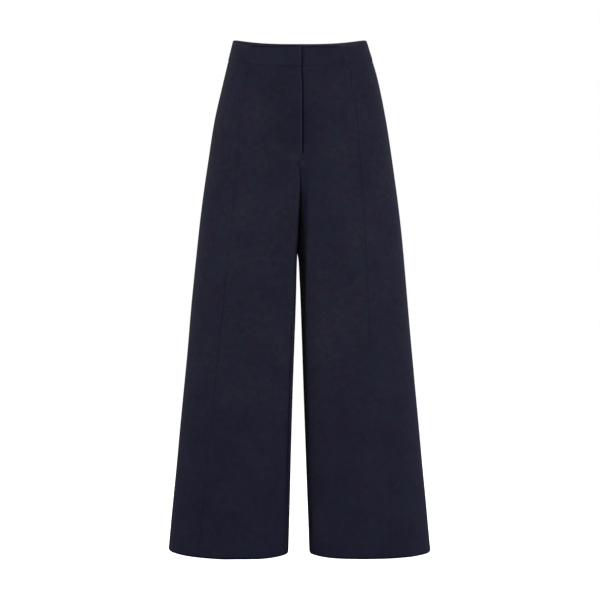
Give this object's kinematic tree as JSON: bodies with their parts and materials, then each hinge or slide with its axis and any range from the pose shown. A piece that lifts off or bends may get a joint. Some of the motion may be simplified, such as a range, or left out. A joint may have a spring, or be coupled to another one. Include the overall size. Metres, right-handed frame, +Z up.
{
  "type": "cropped trousers",
  "caption": "High-waisted wide-leg cropped trousers with a contoured waistband, front panel seams and a lapped fly, hollow and standing open as when worn.",
  "frame": {"origin": "middle of the waist opening, halfway up the waistband at the sides, where the wearer's waist holds the garment", "axes": "+Z up, -Y the front of the garment, +X towards the wearer's left"},
  "size_m": [0.4707, 0.2269, 0.926],
  "materials": {
    "cloth": "matte brushed twill, dark navy"
  },
  "bodies": {
    "root": {"centre_front_right_hip": "cloth", "centre_front_right_thigh": "cloth", "centre_front_right_knee": "cloth", "centre_front_right_calf": "cloth", "side_front_right_hip": "cloth", "side_front_right_thigh": "cloth", "side_front_right_knee": "cloth", "side_front_right_calf": "cloth", "back_right_hip": "cloth", "back_right_thigh": "cloth", "back_right_knee": "cloth", "back_right_calf": "cloth", "centre_front_left_hip": "cloth", "centre_front_left_thigh": "cloth", "centre_front_left_knee": "cloth", "centre_front_left_calf": "cloth", "side_front_left_hip": "cloth", "side_front_left_thigh": "cloth", "side_front_left_knee": "cloth", "side_front_left_calf": "cloth", "back_left_hip": "cloth", "back_left_thigh": "cloth", "back_left_knee": "cloth", "back_left_calf": "cloth", "band_back": "cloth", "band_front_right": "cloth", "band_side_right": "cloth", "band_front_left": "cloth", "band_side_left": "cloth"}
  },
  "joints": []
}
